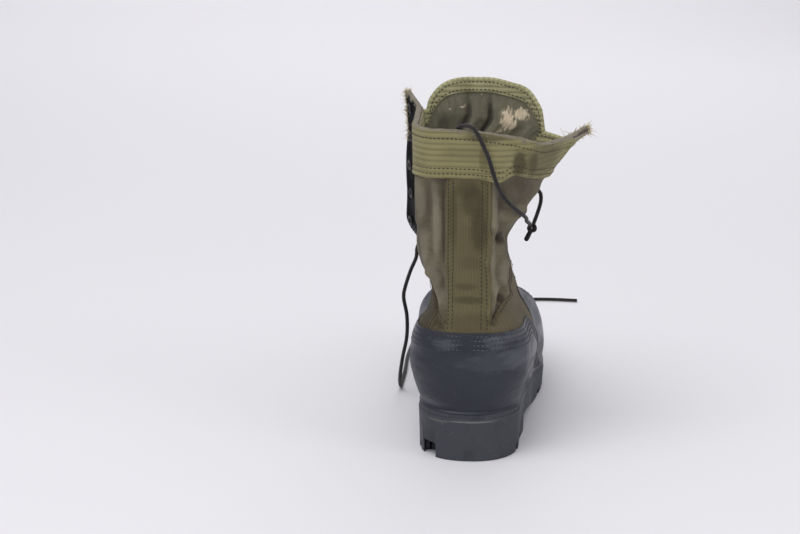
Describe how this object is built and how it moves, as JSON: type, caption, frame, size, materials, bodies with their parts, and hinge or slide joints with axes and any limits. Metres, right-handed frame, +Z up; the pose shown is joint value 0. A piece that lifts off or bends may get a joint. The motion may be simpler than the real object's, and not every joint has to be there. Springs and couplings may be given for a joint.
{
  "type": "jungle boot",
  "caption": "Worn jungle boot for the right foot: slack canvas shaft with webbing bands, black leather vamp and counter, lug sole, open lacing and a loose lace.",
  "frame": {"origin": "the middle of the heel's flat tread face, on the floor", "axes": "+Z up, +Y towards the toe, +X towards the outer side of the right foot"},
  "size_m": [0.1525, 0.4541, 0.2716],
  "materials": {
    "canvas": "faded grey-green cotton and nylon canvas, dusty",
    "webbing": "ribbed olive webbing, frayed and stained",
    "leather": "black, creased, with dull shine and grey scuffs",
    "sole rubber": "black moulded rubber, dulled by dirt",
    "insole mesh": "dark woven mesh, matt",
    "lace": "black braided round lace",
    "fittings": "black painted brass, worn at the rims"
  },
  "bodies": {
    "root": {"upper": "canvas", "tongue": "canvas", "counter": "leather", "vamp": "leather", "eyestay_inner": "leather", "eyestay_outer": "leather", "backstay": "webbing", "ankle_band_inner": "webbing", "ankle_band_outer": "webbing", "collar_band": "webbing", "outsole": "sole rubber", "insole": "insole mesh", "vent_1": "fittings", "vent_2": "fittings", "lace_bar": "lace", "lace_cross_1": "lace", "lace_cross_2": "lace", "lace_cross_3": "lace", "lace_knot": "lace", "lace_end_outer": "lace", "lace_tail": "lace", "lace_end_inner": "lace", "eyelet_inner_1": "fittings", "eyelet_inner_2": "fittings", "eyelet_inner_3": "fittings", "eyelet_inner_4": "fittings", "eyelet_inner_5": "fittings", "eyelet_inner_6": "fittings", "eyelet_inner_7": "fittings", "eyelet_inner_8": "fittings", "eyelet_inner_9": "fittings", "eyelet_outer_1": "fittings", "eyelet_outer_2": "fittings", "eyelet_outer_3": "fittings", "eyelet_outer_4": "fittings", "eyelet_outer_5": "fittings", "eyelet_outer_6": "fittings", "eyelet_outer_7": "fittings", "eyelet_outer_8": "fittings", "eyelet_outer_9": "fittings"}
  },
  "joints": []
}
